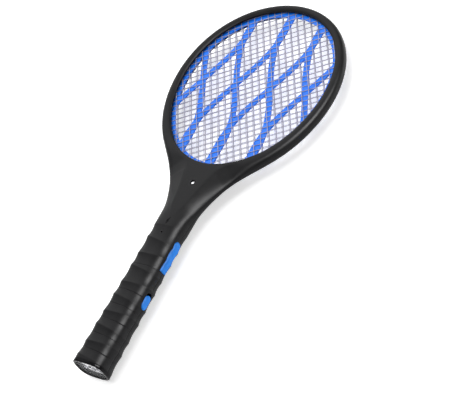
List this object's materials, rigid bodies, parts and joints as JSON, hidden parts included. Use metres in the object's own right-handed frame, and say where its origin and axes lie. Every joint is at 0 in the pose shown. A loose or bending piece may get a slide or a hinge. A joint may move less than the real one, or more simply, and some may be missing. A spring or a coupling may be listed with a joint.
{
  "type": "electric fly swatter",
  "caption": "Electric fly swatter: oval framed wire grids with a blue web, a ribbed handle with a side button, and a pull-off torch as the handle's lower half.",
  "frame": {"origin": "under the middle of the object, at the height of its lowest edge, as it lies on its back", "axes": "+Y from the torch lens to the head, +Z out of the front of the head, +X towards the side with the button"},
  "size_m": [0.214, 0.5, 0.034],
  "materials": {
    "black_plastic": "satin",
    "black_gloss": "gloss",
    "grid_wire": "satin",
    "blue_plastic": "satin",
    "blue_soft": "satin",
    "screw_steel": "polished",
    "dark_component": "gloss",
    "ivory_plastic": "satin",
    "green_board": "gloss",
    "yellow_tape": "satin",
    "capacitor_red": "gloss",
    "resistor_tan": "satin",
    "led_red": "gloss",
    "lead_red": "satin",
    "contact_brass": "satin",
    "contact_steel": "polished",
    "clear_lens": "gloss",
    "gasket_rubber": "matte",
    "reflector_chrome": "polished",
    "white_board": "satin",
    "led_phosphor": "satin",
    "cell_wrap": "gloss"
  },
  "bodies": {
    "racket": {"frame_front": "black_plastic", "frame_rear": "black_plastic", "front_mesh": "grid_wire", "web_grid": "blue_plastic", "middle_grid": "grid_wire", "spacer_ring": "black_plastic", "rear_mesh": "grid_wire", "throat_screw": "screw_steel", "handle_screws": "screw_steel", "zap_switch": "dark_component", "control_board": "green_board", "step_up_transformer": "yellow_tape", "hv_capacitors": "capacitor_red", "multiplier_diodes": "dark_component", "bleed_resistor": "resistor_tan", "oscillator_transistor": "dark_component", "indicator_led": "led_red", "lead_outer_grids": "lead_red", "lead_middle_grid": "dark_component", "socket_plate": "black_plastic", "socket_barrel": "contact_brass", "socket_insulator": "ivory_plastic", "socket_tip_contact": "contact_steel"},
    "zap_button": {"zap_button": "blue_soft"},
    "zap_plunger": {"zap_switch_plunger": "ivory_plastic"},
    "torch": {"torch_front_shell": "black_plastic", "torch_rear_shell": "black_plastic", "bezel_ring": "black_gloss", "lens": "clear_lens", "lens_gasket": "gasket_rubber", "reflector": "reflector_chrome", "led_board": "white_board", "torch_leds": "led_phosphor", "battery_cell": "cell_wrap", "battery_spring": "contact_steel", "battery_plate": "contact_steel", "charge_board": "green_board", "charging_port": "contact_steel", "charge_led": "led_red", "torch_switch_body": "dark_component", "torch_end_plate": "black_plastic", "plug_sleeve": "contact_steel", "plug_insulator": "dark_component", "plug_tip": "contact_steel"},
    "torch_switch": {"torch_switch_knob": "blue_soft", "torch_switch_lever": "ivory_plastic"}
  },
  "joints": [
    {"name": "torch_pull", "type": "slide", "parent": "racket", "child": "torch", "axis": [0, -1, 0], "range_m": [0, 0.06]},
    {"name": "zap_press", "type": "slide", "parent": "racket", "child": "zap_button", "axis": [-1, 0, 0], "range_m": [0, 0.0012], "stiffness_N_per_m": 300, "springref_m": -0.002},
    {"name": "zap_plunger_slide", "type": "slide", "parent": "racket", "child": "zap_plunger", "axis": [-1, 0, 0], "range_m": [0, 0.0012]},
    {"name": "torch_switch_slide", "type": "slide", "parent": "torch", "child": "torch_switch", "axis": [0, 1, 0], "range_m": [0, 0.003]}
  ],
  "couplings": [
    {"joint": "zap_plunger_slide", "follows": "zap_press", "ratio": 1}
  ]
}
